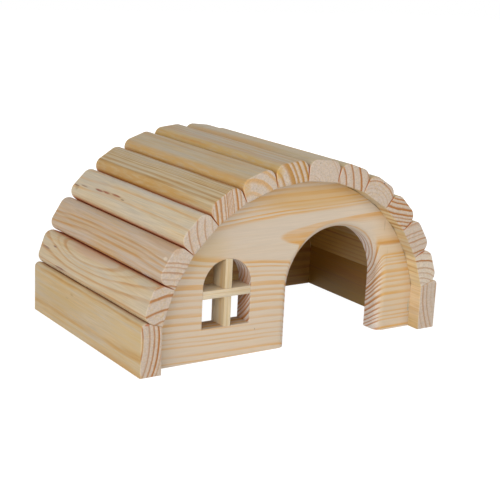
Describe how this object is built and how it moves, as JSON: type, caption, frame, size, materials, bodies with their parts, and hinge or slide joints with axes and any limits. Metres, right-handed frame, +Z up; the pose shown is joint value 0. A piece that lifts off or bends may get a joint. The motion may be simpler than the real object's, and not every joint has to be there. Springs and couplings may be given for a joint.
{
  "type": "small animal house",
  "caption": "Arched pine house for a small pet: slatted roof over two walls, an arched doorway, a small window with crossed bars, and an open underside.",
  "frame": {"origin": "on the floor, below the middle of the slats: the middle of the underside", "axes": "+X across the house, to the right when looking at the doorway; +Y from the doorway to the back; +Z up"},
  "size_m": [0.29, 0.192, 0.1563],
  "materials": {
    "pine_roof": "planed and sanded pine, unfinished",
    "pine_base": "planed and sanded pine, unfinished",
    "pine_wall": "sanded pine, unfinished, sawn reveals",
    "pine_bar": "planed pine strip, unfinished"
  },
  "bodies": {
    "root": {"front_wall": "pine_wall", "back_wall": "pine_wall", "base_slat_left": "pine_base", "base_slat_right": "pine_base", "roof_slat_01": "pine_roof", "roof_slat_02": "pine_roof", "roof_slat_03": "pine_roof", "roof_slat_04": "pine_roof", "roof_slat_05": "pine_roof", "roof_slat_06": "pine_roof", "roof_slat_07": "pine_roof", "roof_slat_08": "pine_roof", "roof_slat_09": "pine_roof", "roof_slat_10": "pine_roof", "roof_slat_11": "pine_roof", "roof_slat_12": "pine_roof", "window_upright_bar": "pine_bar", "window_cross_bar": "pine_bar"}
  },
  "joints": []
}
